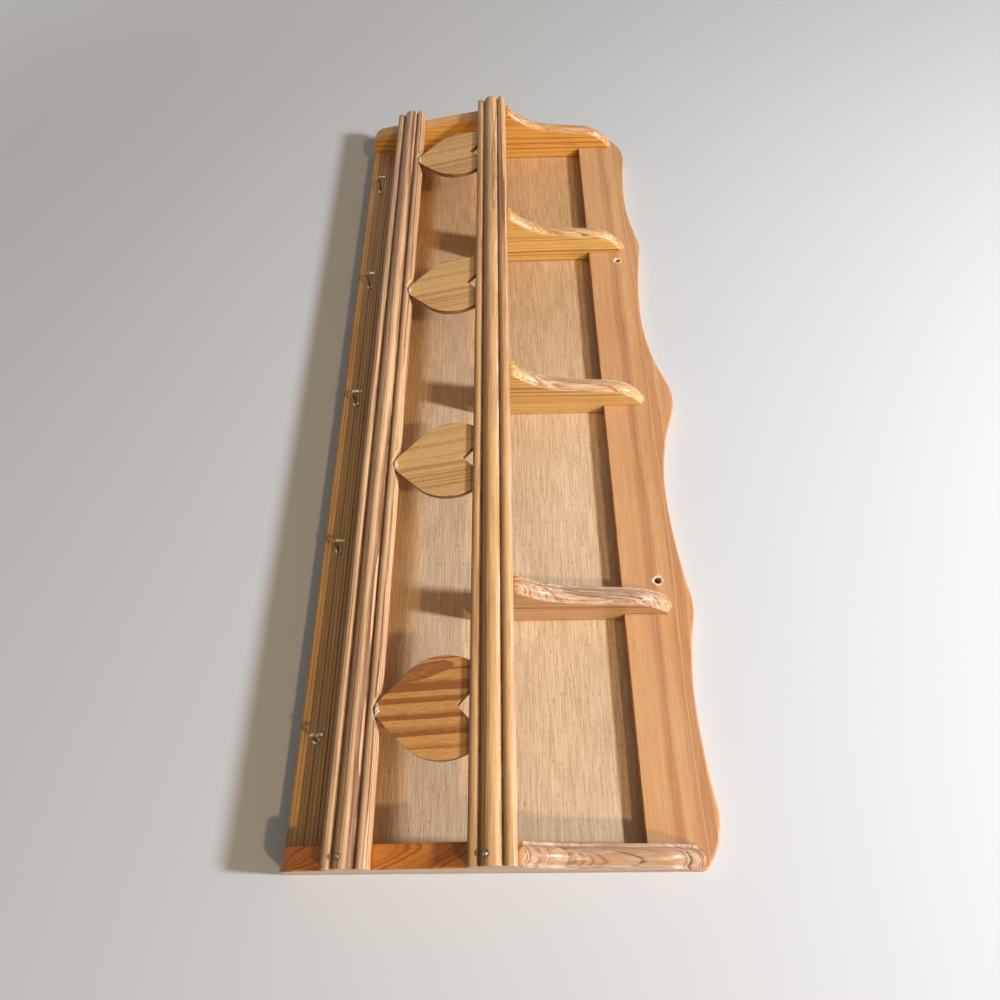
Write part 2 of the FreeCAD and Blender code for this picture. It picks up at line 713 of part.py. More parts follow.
def make_heart(label, x):
    """Make a heart between the mouldings: its tip sits in a notch, its lobes end flat under the upper one."""
    base = "lower_moulding_height + moulding_width / 2 * cos(edge_slope)"
    body = new_body(label, x=x, y=f"-{edge_depth(base)}", height=base, tilt="edge_slope")
    gap = "((upper_moulding_height - lower_moulding_height) / cos(edge_slope) - moulding_width)"
    centre = "(heart_width / 2 - heart_lobe_radius)"
    tip = "-(notch_depth * (1 - heart_tip_width / notch_width))"
    above = f"({gap} - heart_lobe_height)"
    lobe_end = f"({centre} + sqrt(heart_lobe_radius * heart_lobe_radius - {above} * {above}))"
    half = [
        ("(heart_tip_width / 2)", tip, None),
        (f"({centre} + heart_lobe_radius * cos(45))", "heart_lobe_height - heart_lobe_radius * sin(45)", None),
        (lobe_end, gap, ("heart_lobe_radius", 1)),
        ("(heart_cleft_width / 2)", gap, None),
    ]
    cleft = ("0", f"{gap} - heart_cleft_depth", None)
    bends = [bend for _, _, bend in half[1:]] + [None]
    mirrored = [(f"-{x_side}", height, bend) for (x_side, height, _), bend in zip(half, bends)]
    outline = new_sketch(body, label + "_outline", "XZ_Plane", "heart_setback")
    draw_outline(outline, [*half, cleft, *reversed(mirrored)])
    pad(body, outline, "heart_thickness")
    return body


# Hardware

def make_hook(label, x):
    """Make a square-bend screw hook: wire, collar and the screw inside the rail."""
    body = new_body(label, x=x, y="-rail_thickness", height="hook_height")
    wire = new_sketch(body, label + "_wire", "XZ_Plane")
    draw_circle(wire, "0", "0", "hook_wire")
    path = new_sketch(body, label + "_path", "YZ_Plane")
    draw_path(path, [
        side("0", "0"),
        side("hook_reach - hook_bend", "0"),
        side("hook_reach", "hook_bend", ("hook_bend", -1)),
        side("hook_reach", "hook_rise"),
    ])
    document.recompute()
    bent = body.newObject("PartDesign::AdditivePipe", label + "_bent_wire")
    bent.Profile = wire
    bent.Spine = (path, [f"Edge{i}" for i in range(1, len(path.Geometry) + 1)])
    collar = new_sketch(body, label + "_collar", "XZ_Plane")
    draw_circle(collar, "0", "0", "hook_collar")
    pad(body, collar, "hook_collar_thickness")
    screw = new_sketch(body, label + "_screw", "XZ_Plane", "-hook_screw_length")
    draw_circle(screw, "0", "0", "hook_screw")
    shank = pad(body, screw, "hook_screw_length")
    top = number("hook_rise")

    def at_tip(edge):
        return abs(edge.CenterOfMass.z - top) < 0.01

    round_edges(body, shank, label + "_rounded_tip", "hook_wire / 3", at_tip)
    return body


def make_nail(name, way, head, length):
    """Make a headless nail from its head point, along a way of "back", "left" or "right".

    The head point is (x, y, height). "back" means driven from the wall side towards the front.
    """
    turns = {
        "back": FreeCAD.Rotation(FreeCAD.Vector(1, 0, 0), 90),
        "right": FreeCAD.Rotation(FreeCAD.Vector(0, 1, 0), 90),
        "left": FreeCAD.Rotation(FreeCAD.Vector(0, 1, 0), -90),
    }
    steps = {"back": ("0", "-1"), "right": ("1", "0"), "left": ("-1", "0")}
    shank = document.addObject("Part::Cylinder", name + "_shank")
    bind(shank, "Radius", "nail_diameter / 2")
    bind(shank, "Height", f"{length} - nail_point")
    point = document.addObject("Part::Cone", name + "_point")
    bind(point, "Radius1", "nail_diameter / 2")
    bind(point, "Radius2", "nail_diameter / 12")
    bind(point, "Height", "nail_point")
    x, y, height = head
    step_x, step_y = steps[way]
    for piece, along in ((shank, "0"), (point, f"({length} - nail_point)")):
        piece.Placement = FreeCAD.Placement(FreeCAD.Vector(), turns[way])
        place(piece, plus(x, f"{step_x} * {along}"), plus(y, f"{step_y} * {along}"), height)
    nail = document.addObject("Part::Fuse", name)
    nail.Base = shank
    nail.Tool = point
    return nail


def make_pin(name, moulding_height, right):
    """Make a round-head pin through one end of a moulding, square to the sloping edge."""
    x = "rack_length / 2 - pin_inset" if right else "pin_inset - rack_length / 2"
    height = f"({moulding_height} - pin_drop * cos(edge_slope))"
    depth = edge_depth(height)
    shank = document.addObject("Part::Cylinder", name + "_shank")
    bind(shank, "Radius", "pin_diameter / 2")
    bind(shank, "Height", "pin_grip + pin_seat")
    head = document.addObject("Part::Ellipsoid", name + "_head")
    bind(head, "Radius1", "pin_head_height")
    bind(head, "Radius2", "pin_head / 2")
    bind(head, "Radius3", "pin_head / 2")
    head.Angle1 = 0
    for piece, lift in ((shank, "-pin_grip"), (head, "pin_seat")):
        place(piece, x, f"-{depth} - ({lift}) * cos(edge_slope)", f"{height} - ({lift}) * sin(edge_slope)",
              tilt="90 + edge_slope")
    pin = document.addObject("Part::Fuse", name)
    pin.Base = shank
    pin.Tool = head
    return pin


def group(label, solids):
    """Gather separate solids under one label."""
    compound = document.addObject("Part::Compound", label)
    compound.Label = label
    compound.Links = solids
    return compound


def make_pins():
    """Make the two groups of moulding pins."""
    groups = []
    for label, height in (("lower_moulding_pins", "lower_moulding_height"),
                          ("upper_moulding_pins", "upper_moulding_height")):
        pins = [make_pin(f"{label}_{right:d}", height, right) for right in (False, True)]
        groups.append(group(label, pins))
    return groups


def make_nails():
    """Make the groups of nails that hold the boards together."""
    def driven_from_back(label, spots, length):
        nails = [make_nail(f"{label}_{i}", "back", (x, "0", height), length) for i, (x, height) in enumerate(spots)]
        return group(label, nails)

    def driven_from_sides(label, spot):
        y, height = spot
        ends = (("left", "rack_length / 2"), ("right", "-rack_length / 2"))
        length = "(side_thickness + side_nail_grip)"
        return group(label, [make_nail(f"{label}_{way}", way, (x, y, height), length) for way, x in ends])

    return [
        driven_from_back("top_rail_nails", [(x, RAIL_NAIL_HEIGHT) for x in RAIL_NAILS],
                         "(rail_thickness + rail_nail_grip)"),
        driven_from_back("divider_nails", DIVIDER_NAIL_SPOTS, "(back_thickness + divider_nail_grip)"),
        driven_from_back("back_panel_nails", BACK_PIN_SPOTS, "(back_thickness + back_pin_grip)"),
        driven_from_sides("hook_rail_nails", SIDE_NAIL_SPOTS[0]),
        driven_from_sides("shelf_nails", SIDE_NAIL_SPOTS[1]),
    ]


def make_pieces():
    """Make every sub-part of the rack."""
    pieces = [
        make_top_rail(),
        make_hook_rail(),
        make_shelf_board(),
        make_back_panel(),
        make_end_panel("left_end_panel", right=False),
        make_end_panel("right_end_panel", right=True),
    ]
    pieces += [make_divider(label, place_number) for label, place_number in DIVIDERS.items()]
    pieces.append(make_moulding("lower_moulding", "lower_moulding_height", notched=True))
    pieces.append(make_moulding("upper_moulding", "upper_moulding_height", notched=False))
    pieces += [make_heart(f"heart_{i}", x) for i, x in enumerate(heart_places(), start=1)]
    pieces += [make_hook(f"hook_{i}", x) for i, x in enumerate(hook_places(), start=1)]
    pieces += make_pins()
    pieces += make_nails()
    return pieces


def check(pieces):
    """Raise an error if a feature failed, a cut removed nothing or a shape isn't valid."""
    for thing in document.Objects:
        if "Invalid" in thing.State or "Error" in thing.State:
            raise RuntimeError(f"{thing.Name} failed: {thing.State}")
        if thing.isDerivedFrom("PartDesign::FeatureSubtractive") or thing.TypeId == "PartDesign::Pocket":
            removed = thing.BaseFeature.Shape.Volume - thing.Shape.Volume
            if removed <= 0:
                raise RuntimeError(f"{thing.Name} removed nothing")
    for piece in pieces:
        if piece.Shape.isNull() or not piece.Shape.isValid():
            raise RuntimeError(f"{piece.Label} has no valid shape")


def main():
    """Build the rack, check it and write one file per sub-part."""
    pieces = make_pieces()
    document.recompute()
    check(pieces)
    os.makedirs("parts", exist_ok=True)
    for piece in pieces:
        piece.Shape.exportStep(f"parts/{piece.Label}.step")
        solids = piece.Shape.Solids
        box = piece.Shape.BoundBox
        print(f"{piece.Label}: {len(solids)} solid(s), {sum(solid.Volume for solid in solids):.1f} mm3, "
              f"x {box.XMin:.1f}..{box.XMax:.1f}, y {box.YMin:.1f}..{box.YMax:.1f}, "
              f"z {box.ZMin:.1f}..{box.ZMax:.1f}")


main()
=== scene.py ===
"""Looks, light and camera of a wall plate rack of varnished pine.

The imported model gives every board, moulding, heart, hook and fastener at its place. This script dresses
them as aged pine, brass and steel, adds the glue that shows at the hearts, and lights and frames the rack.
X runs along the rack, -Y is its front and +Z is up. Lengths are in metres.
"""
import logging
import math
from dataclasses import dataclass, field
from enum import Enum

import bmesh
import bpy
from mathutils import Matrix, Vector, noise


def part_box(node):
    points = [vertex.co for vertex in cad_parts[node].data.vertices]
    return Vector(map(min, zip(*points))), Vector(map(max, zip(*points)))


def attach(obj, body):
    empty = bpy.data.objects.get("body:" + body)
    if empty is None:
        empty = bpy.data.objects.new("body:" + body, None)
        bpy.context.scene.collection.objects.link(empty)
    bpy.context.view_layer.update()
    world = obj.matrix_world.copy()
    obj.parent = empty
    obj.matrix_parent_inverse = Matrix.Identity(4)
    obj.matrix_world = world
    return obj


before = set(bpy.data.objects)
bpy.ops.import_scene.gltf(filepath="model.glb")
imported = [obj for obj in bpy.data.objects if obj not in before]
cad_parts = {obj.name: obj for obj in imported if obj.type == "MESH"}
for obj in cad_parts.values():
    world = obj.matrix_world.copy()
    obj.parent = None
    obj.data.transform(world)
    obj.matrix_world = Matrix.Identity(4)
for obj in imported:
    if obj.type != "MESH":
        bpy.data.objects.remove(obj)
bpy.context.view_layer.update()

LOG = logging.getLogger("plate_rack")
MM = 0.001
BODY = "root"
EDGE_SLOPE = math.radians(9.5)
FRONT = (0.0, -math.cos(EDGE_SLOPE), -math.sin(EDGE_SLOPE))

Colour = tuple[float, float, float]
Triple = tuple[float, float, float]
Pair = tuple[float, float]
Socket = bpy.types.NodeSocket
Value = Socket | float | tuple[float, ...]


class Grain(Enum):
    """Which way the grain of a board runs. The value orders the axes with the grain's own first."""

    ALONG_X = (0, 1, 2)
    ALONG_Z = (2, 0, 1)


class Tree:
    """Adds nodes to one node tree and wires them."""

    def __init__(self, tree: bpy.types.NodeTree) -> None:
        """Keep the tree to build in.

        Args:
            tree: The node tree of a material, a world or a node group.
        """
        self.tree = tree

    def add(self, kind: str, **settings: object) -> bpy.types.Node:
        """Add a node.

        Args:
            kind: The node's type, without its ShaderNode prefix.
            **settings: Properties of the node, by name.

        Returns:
            The new node.
        """
        node = self.tree.nodes.new("ShaderNode" + kind)
        for name, value in settings.items():
            setattr(node, name, value)
        return node

    def feed(self, target: Socket, value: Value) -> None:
        """Link a socket to an input, or write a plain value into it.

        Args:
            target: The input to fill.
            value: A socket, a number, a colour or a vector.
        """
        if isinstance(value, bpy.types.NodeSocket):
            self.tree.links.new(value, target)
        elif isinstance(value, tuple) and len(value) == 3 and target.type == "RGBA":
            target.default_value = (*value, 1.0)
        else:
            target.default_value = value

    def math(self, operation: str, *values: Value, clamp: bool = False) -> Socket:
        """Add a Math node and return its result.

        Args:
            operation: Blender's name of the operation.
            *values: One to three sockets or numbers.
            clamp: Whether the result is kept between 0 and 1.

        Returns:
            The result's socket.
        """
        node = self.add("Math", operation=operation, use_clamp=clamp)
        for target, value in zip(node.inputs, values):
            self.feed(target, value)
        return node.outputs[0]

    def vector(self, operation: str, *values: Value) -> Socket:
        """Add a Vector Math node and return its result: the number for a length or dot product.

        Args:
            operation: Blender's name of the operation.
            *values: Sockets or vectors.

        Returns:
            The result's socket.
        """
        node = self.add("VectorMath", operation=operation)
        for target, value in zip(node.inputs, values):
            self.feed(target, value)
        return node.outputs["Value" if operation in ("LENGTH", "DOT_PRODUCT", "DISTANCE") else "Vector"]

    def scale(self, vector: Socket, factor: Value) -> Socket:
        """Multiply a vector by a number.

        Args:
            vector: The vector's socket.
            factor: The number or its socket.

        Returns:
            The result's socket.
        """
        node = self.add("VectorMath", operation="SCALE")
        self.feed(node.inputs[0], vector)
        self.feed(node.inputs["Scale"], factor)
        return node.outputs["Vector"]

    def noise(self, vector: Socket, stretch: Triple, detail: float = 2.0,
              rough: float = 0.5) -> bpy.types.Node:
        """Add a noise texture on a stretched vector.

        Args:
            vector: The position.
            stretch: Waves per metre along each axis.
            detail: Number of finer layers.
            rough: Strength of the finer layers.

        Returns:
            The noise node, for its Fac and Color.
        """
        node = self.add("TexNoise", noise_dimensions="3D")
        self.feed(node.inputs["Vector"], self.vector("MULTIPLY", vector, stretch))
        node.inputs["Scale"].default_value = 1.0
        node.inputs["Detail"].default_value = detail
        node.inputs["Roughness"].default_value = rough
        return node

    def step(self, value: Socket, low: Value, high: Value, start: Value = 0.0, end: Value = 1.0) -> Socket:
        """Map a value smoothly from one range to another.

        Args:
            value: The value's socket.
            low: Value that gives start.
            high: Value that gives end.
            start: Result at low and below.
            end: Result at high and above.

        Returns:
            The result's socket.
        """
        node = self.add("MapRange", interpolation_type="SMOOTHSTEP")
        for target, item in zip(node.inputs, (value, low, high, start, end)):
            self.feed(target, item)
        return node.outputs[0]

    def mix(self, factor: Value, first: Value, second: Value, blend: str = "MIX") -> Socket:
        """Mix two colours.

        Args:
            factor: Share of the second colour.
            first: A colour or its socket.
            second: A colour or its socket.
            blend: Blender's name of the way to mix.

        Returns:
            The mixed colour's socket.
        """
        node = self.add("Mix", data_type="RGBA", blend_type=blend)
        self.feed(node.inputs[0], factor)
        self.feed(node.inputs[6], first)
        self.feed(node.inputs[7], second)
        return node.outputs[2]

    def group(self, tree: bpy.types.NodeTree, **values: Value) -> bpy.types.Node:
        """Place a node group.

        Args:
            tree: The group's node tree.
            **values: Values or sockets of its inputs. An underscore in a name stands for a space.

        Returns:
            The group node.
        """
        node = self.add("Group")
        node.node_tree = tree
        for name, value in values.items():
            self.feed(node.inputs[name.replace("_", " ")], value)
        return node


class SharedGroup:
    """A node group that is built once and used by many materials."""

    title = "Shared"
    inputs: dict[str, str] = {}
    outputs: dict[str, str] = {}

    def __init__(self) -> None:
        """Make the group's sockets, then let the subclass build its inside."""
        self.tree = bpy.data.node_groups.new(self.title, "ShaderNodeTree")
        for way, sockets in (("INPUT", self.inputs), ("OUTPUT", self.outputs)):
            for name, kind in sockets.items():
                self.tree.interface.new_socket(name=name, in_out=way, socket_type="NodeSocket" + kind)
        nodes = Tree(self.tree)
        entry = self.tree.nodes.new("NodeGroupInput").outputs
        leave = self.tree.nodes.new("NodeGroupOutput").inputs
        self.build(nodes, entry, leave)

    def build(self, nodes: Tree, entry: bpy.types.NodeOutputs, leave: bpy.types.NodeInputs) -> None:
        """Build the inside of the group.

        Args:
            nodes: The tree to build in.
            entry: The group's inputs, as sockets to read.
            leave: The group's outputs, as sockets to feed.
        """
        raise NotImplementedError


class PineGrain(SharedGroup):
    """Growth rings, fibres, flecks and slow changes of tone of a pine board whose grain runs along X."""

    title = "PineGrain"
    inputs = {"Vector": "Vector", "Pith": "Vector", "Spacing": "Float", "Waver": "Float", "Fineness": "Float",
              "Drift": "Float", "Onset": "Float"}
    outputs = {"Rings": "Float", "Fibre": "Float", "Fleck": "Float", "Cloud": "Float"}
    bends = (((1.7, 9.0, 9.0), 2.0), ((7.0, 52.0, 52.0), 0.6))
    drift_rate = 0.35
    late_full = 0.9
    late_end = (0.93, 1.0)
    faintest = 0.4
    fibre_waves = (16.0, 620.0, 620.0)
    fibre_range = (0.36, 0.64)
    fleck_waves = (85.0, 1300.0, 1300.0)
    fleck_range = (0.6, 0.74)
    cloud_waves = (3.0, 14.0, 14.0)
    cloud_range = (0.32, 0.68)

    def build(self, nodes: Tree, entry: bpy.types.NodeOutputs, leave: bpy.types.NodeInputs) -> None:
        """Build rings round a pith line, bent by noise, and finer noise along the grain.

        Args:
            nodes: The group's own tree.
            entry: Position, pith and the measures of the grain.
            leave: The masks of rings, fibres, flecks and clouds.
        """
        place = entry["Vector"]
        bent = place
        for stretch, share in self.bends:
            push = nodes.vector("SUBTRACT", nodes.noise(place, stretch).outputs["Color"], (0.5, 0.5, 0.5))
            reach = nodes.math("MULTIPLY", entry["Waver"], share)
            bent = nodes.vector("ADD", bent, nodes.scale(push, reach))
        off = nodes.vector("MULTIPLY", nodes.vector("SUBTRACT", bent, entry["Pith"]), (0.0, 1.0, 1.0))
        rings = nodes.math("DIVIDE", nodes.vector("LENGTH", off), entry["Spacing"])
        drift = nodes.add("TexNoise", noise_dimensions="1D")
        nodes.feed(drift.inputs["W"], nodes.math("MULTIPLY", rings, self.drift_rate))
        rings = nodes.math("MULTIPLY_ADD", drift.outputs["Fac"], entry["Drift"], rings)
        turn = nodes.math("FRACT", rings)
        late = nodes.step(turn, entry["Onset"], self.late_full)
        late = nodes.math("MULTIPLY", late, nodes.step(turn, *self.late_end, 1.0, 0.0))
        chance = nodes.add("TexWhiteNoise", noise_dimensions="1D")
        nodes.feed(chance.inputs["W"], nodes.math("FLOOR", rings))
        strength = nodes.math("MULTIPLY_ADD", chance.outputs["Value"], 1.0 - self.faintest, self.faintest)
        nodes.feed(leave["Rings"], nodes.math("MULTIPLY", late, strength))
        fine = nodes.scale(place, entry["Fineness"])
        fibre = nodes.noise(fine, self.fibre_waves, 4.0, 0.65).outputs["Fac"]
        nodes.feed(leave["Fibre"], nodes.step(fibre, *self.fibre_range))
        fleck = nodes.noise(fine, self.fleck_waves, 1.0).outputs["Fac"]
        nodes.feed(leave["Fleck"], nodes.step(fleck, *self.fleck_range))
        cloud = nodes.noise(place, self.cloud_waves, 3.0).outputs["Fac"]
        nodes.feed(leave["Cloud"], nodes.step(cloud, *self.cloud_range))


class EdgeWear(SharedGroup):
    """Where edges stand out and wear pale, and a normal that rounds them."""

    title = "EdgeWear"
    inputs = {"Vector": "Vector", "Radius": "Float"}
    outputs = {"Wear": "Float", "Normal": "Vector"}
    bend_range = (0.998, 0.9)
    patch_waves = (60.0, 60.0, 60.0)
    patch_range = (0.36, 0.62)

    def build(self, nodes: Tree, entry: bpy.types.NodeOutputs, leave: bpy.types.NodeInputs) -> None:
        """Compare a bevelled normal with the true one, and break the edge up with noise.

        Args:
            nodes: The group's own tree.
            entry: Position and the radius of the edges.
            leave: The mask of worn edges and the rounded normal.
        """
        bevel = nodes.add("Bevel", samples=6)
        nodes.feed(bevel.inputs["Radius"], entry["Radius"])
        true = nodes.add("NewGeometry").outputs["Normal"]
        along = nodes.vector("DOT_PRODUCT", bevel.outputs["Normal"], true)
        edge = nodes.step(along, *self.bend_range)
        patch = nodes.noise(entry["Vector"], self.patch_waves, 3.0).outputs["Fac"]
        patch = nodes.step(patch, *self.patch_range)
        nodes.feed(leave["Wear"], nodes.math("MULTIPLY", edge, patch))
        nodes.feed(leave["Normal"], bevel.outputs["Normal"])


class CreviceShade(SharedGroup):
    """How far a point lies in a groove or corner, for painted shade there and crumbs of dirt round it."""

    title = "CreviceShade"
    inputs = {"Vector": "Vector", "Reach": "Float"}
    outputs = {"Depth": "Float"}
    deep_range = (0.8, 0.3)
    crumb_waves = (900.0, 900.0, 900.0)
    crumb_range = (0.6, 0.68)
    crumb_reach = (0.97, 0.6)

    def build(self, nodes: Tree, entry: bpy.types.NodeOutputs, leave: bpy.types.NodeInputs) -> None:
        """Turn ambient occlusion into a mask of painted shade, with crumbs of dirt round its edge.

        Args:
            nodes: The group's own tree.
            entry: Position and how far the groove's walls may be.
            leave: The mask of the groove's painted shade and dirt.
        """
        shade = nodes.add("AmbientOcclusion", samples=6)
        nodes.feed(shade.inputs["Distance"], entry["Reach"])
        deep = nodes.step(shade.outputs["AO"], *self.deep_range)
        crumb = nodes.noise(entry["Vector"], self.crumb_waves, 1.0).outputs["Fac"]
        crumb = nodes.step(crumb, *self.crumb_range)
        crumb = nodes.math("MULTIPLY", crumb, nodes.step(shade.outputs["AO"], *self.crumb_reach))
        nodes.feed(leave["Depth"], nodes.math("MAXIMUM", deep, crumb))


class Scratches(SharedGroup):
    """Sparse fine scratches and rubs."""

    title = "Scratches"
    inputs = {"Vector": "Vector"}
    outputs = {"Line": "Float"}
    ways = ((0.5, (26.0, 900.0, 1500.0)), (-0.35, (34.0, 1100.0, 1300.0)))
    line_range = (0.74, 0.8)
    few_waves = (11.0, 17.0, 19.0)
    few_range = (0.5, 0.62)

    def build(self, nodes: Tree, entry: bpy.types.NodeOutputs, leave: bpy.types.NodeInputs) -> None:
        """Cross two fields of thin stretched noise with a mask that leaves only a few.

        Args:
            nodes: The group's own tree.
            entry: Position.
            leave: The mask of the scratches.
        """
        lines = None
        for turn, stretch in self.ways:
            spin = nodes.add("VectorRotate", rotation_type="Y_AXIS")
            nodes.feed(spin.inputs["Vector"], entry["Vector"])
            spin.inputs["Angle"].default_value = turn
            thin = nodes.noise(spin.outputs["Vector"], stretch, 0.0).outputs["Fac"]
            line = nodes.step(thin, *self.line_range)
            lines = line if lines is None else nodes.math("MAXIMUM", lines, line)
        few = nodes.noise(entry["Vector"], self.few_waves, 1.0).outputs["Fac"]
        few = nodes.step(few, *self.few_range)
        nodes.feed(leave["Line"], nodes.math("MULTIPLY", lines, few))


@dataclass
class Groups:
    """The node groups that materials share."""

    grain: PineGrain = field(default_factory=PineGrain)
    wear: EdgeWear = field(default_factory=EdgeWear)
    crevice_shade: CreviceShade = field(default_factory=CreviceShade)
    scratches: Scratches = field(default_factory=Scratches)


groups = Groups()


def new_material(name: str) -> tuple[bpy.types.Material, Tree, bpy.types.Node]:
    """Make a material with an empty Principled shader.

    Args:
        name: The material's name.

    Returns:
        The material, its tree and the shader.
    """
    material = bpy.data.materials.new(name)
    material.use_nodes = True
    nodes = Tree(material.node_tree)
    return material, nodes, material.node_tree.nodes["Principled BSDF"]


@dataclass(frozen=True)
class Tongue:
    """A long oval of late wood, where the saw ran along a ring."""

    centre: Triple
    length: float
    width: float
    slope: float
    depth: float
    ragged_waves: Triple = (30.0, 120.0, 120.0)
    rim: Pair = (1.05, 0.95)
    core: float = 0.7


@dataclass(frozen=True)
class Amber:
    """A darker, warmer tint from one place to another along an axis."""

    colour: Colour = (0.90, 0.72, 0.53)
    axis: int = 0
    pale: float = 0.15
    deep: float = -0.42
    front_only: bool = False


@dataclass(frozen=True)
class PineFinish:
    """Varnished pine, as one board of the rack shows it."""

    name: str
    early: Colour
    late: Colour
    grain: Grain = Grain.ALONG_X
    pith: Triple = (0.0, 0.05, 0.4)
    shift: Triple = (0.0, 0.0, 0.0)
    spacing: float = 0.004
    waver: float = 0.003
    rings: float = 0.6
    fibre: float = 0.3
    fleck: float = 0.25
    cloud: float = 0.25
    # Strength of the painted shade in grooves and corners.
    groove: float = 0.5
    hollow: float = 4.0 * MM
    rub: float = 0.5
    scratched: float = 0.3
    # Pale streaks and a tint on faces turned one way, above a height: partly wear, partly painted highlight on
    # faces turned to the lamps.
    bleach_and_highlight: float = 0.0
    bleach_and_highlight_from: float = -1.0
    bleach_and_highlight_way: Triple = (0.0, -1.0, 0.0)
    facing_tint: Colour = (1.0, 1.0, 1.0)
    side_darkening: float = 0.0
    fineness: float = 1.0
    drift: float = 2.2
    onset: float = 0.35
    worn: Colour = (0.80, 0.62, 0.44)
    # Dark brown of the pores, of the painted shade in grooves and of the darkened sides.
    gum_and_shade: Colour = (0.16, 0.07, 0.02)
    roughness: float = 0.36
    coat: float = 0.12
    shine: float = 0.22
    relief: float = 0.12
    tongue: Tongue | None = None
    amber: Amber | None = None
    edge_radius: float = 1.2 * MM
    bleach_and_highlight_rise: float = 12.0 * MM
    bleach_and_highlight_facing: Pair = (0.3, 0.75)
    streak_waves: Triple = (15.0, 330.0, 330.0)
    streak_range: Pair = (0.44, 0.6)
    streak_fibre: float = 0.7
    side_darkening_facing: Pair = (0.8, 0.4)
    amber_facing: Pair = (0.3, 0.7)
    fibre_roughness: float = 0.12
    rubbed_roughness: float = 0.2
    coat_roughness: float = 0.22
    ring_relief: float = 0.8
    scratch_relief: float = 2.0
    relief_depth: float = 0.3 * MM

    def build(self) -> bpy.types.Material:
        """Build the material.

        Returns:
            The material.
        """
        material, nodes, shader = new_material(self.name)
        place = nodes.add("TexCoord").outputs["Object"]
        split = nodes.add("SeparateXYZ")
        nodes.feed(split.inputs[0], place)
        turned = nodes.add("CombineXYZ")
        for target, axis in zip(turned.inputs, self.grain.value):
            nodes.feed(target, split.outputs[axis])
        along = nodes.vector("ADD", turned.outputs[0], self.shift)
        grain = nodes.group(groups.grain.tree, Vector=along, Pith=self.pith, Spacing=self.spacing,
                            Waver=self.waver, Fineness=self.fineness, Drift=self.drift,
                            Onset=self.onset).outputs
        wear = nodes.group(groups.wear.tree, Vector=along, Radius=self.edge_radius).outputs
        crevice_shade = nodes.group(groups.crevice_shade.tree, Vector=place, Reach=self.hollow).outputs["Depth"]
        scratch = nodes.group(groups.scratches.tree, Vector=place).outputs["Line"]
        late = nodes.math("MULTIPLY", grain["Rings"], self.rings)
        if self.tongue:
            late = nodes.math("MAXIMUM", late, self.late_oval(nodes, turned.outputs[0]))
        late = nodes.math("MULTIPLY_ADD", grain["Fibre"], self.fibre, late)
        late = nodes.math("MULTIPLY_ADD", grain["Cloud"], self.cloud, late, clamp=True)
        colour = nodes.mix(late, self.early, self.late)
        pores = nodes.math("MULTIPLY", grain["Fleck"], self.fleck)
        colour = nodes.mix(pores, colour, self.gum_and_shade)
        # Painted shade in grooves and corners, from ambient occlusion, plus crumbs of dirt: both darken
        # towards the dark brown.
        colour = nodes.mix(nodes.math("MULTIPLY", crevice_shade, self.groove), colour, self.gum_and_shade)
        rubbed_and_highlight = nodes.math("MAXIMUM", wear["Wear"], nodes.math("MULTIPLY", scratch, self.scratched))
        rubbed_and_highlight = nodes.math("MULTIPLY", rubbed_and_highlight, self.rub)
        # Painted highlight and wear: faces turned one way above a height get a tint, then pale streaks.
        if self.bleach_and_highlight:
            height = nodes.step(split.outputs[2], self.bleach_and_highlight_from, self.bleach_and_highlight_from + self.bleach_and_highlight_rise)
            facing = self.facing(nodes, self.bleach_and_highlight_way, self.bleach_and_highlight_facing)
            front = nodes.math("MULTIPLY", height, facing)
            colour = nodes.mix(front, colour, nodes.mix(1.0, colour, self.facing_tint, "MULTIPLY"))
            pale_streak = nodes.math("MULTIPLY", front, self.streaks(nodes, along, grain["Fibre"]))
            rubbed_and_highlight = nodes.math("MAXIMUM", rubbed_and_highlight, pale_streak)
        # Worn edges, scratches and the pale streaks turn pale: wear, with painted highlight in the streaks.
        colour = nodes.mix(rubbed_and_highlight, colour, self.worn)
        # Faces turned away from the front are darkened towards the dark brown.
        if self.side_darkening:
            aside = self.facing(nodes, FRONT, self.side_darkening_facing)
            colour = nodes.mix(nodes.math("MULTIPLY", aside, self.side_darkening), colour, self.gum_and_shade)
        if self.amber:
            deep = nodes.step(split.outputs[self.amber.axis], self.amber.pale, self.amber.deep)
            if self.amber.front_only:
                deep = nodes.math("MULTIPLY", deep, self.facing(nodes, FRONT, self.amber_facing))
            colour = nodes.mix(deep, colour, self.amber.colour, "MULTIPLY")
        colour = self.marks(nodes, place, colour)
        nodes.feed(shader.inputs["Base Color"], colour)
        rough = nodes.math("MULTIPLY_ADD", grain["Fibre"], self.fibre_roughness, self.roughness)
        rough = nodes.math("MULTIPLY_ADD", rubbed_and_highlight, self.rubbed_roughness, rough)
        nodes.feed(shader.inputs["Roughness"], rough)
        coat = nodes.math("MULTIPLY_ADD", rubbed_and_highlight, -self.coat, self.coat, clamp=True)
        nodes.feed(shader.inputs["Coat Weight"], coat)
        shader.inputs["Coat Roughness"].default_value = self.coat_roughness
        shader.inputs["Specular IOR Level"].default_value = self.shine
        bump = nodes.add("Bump")
        height = nodes.math("MULTIPLY_ADD", grain["Rings"], self.ring_relief, grain["Fibre"])
        height = nodes.math("SUBTRACT", height, nodes.math("MULTIPLY", scratch, self.scratch_relief))
        nodes.feed(bump.inputs["Height"], height)
        nodes.feed(bump.inputs["Normal"], wear["Normal"])
        bump.inputs["Strength"].default_value = self.relief
        bump.inputs["Distance"].default_value = self.relief_depth
        nodes.feed(shader.inputs["Normal"], bump.outputs["Normal"])
        return material

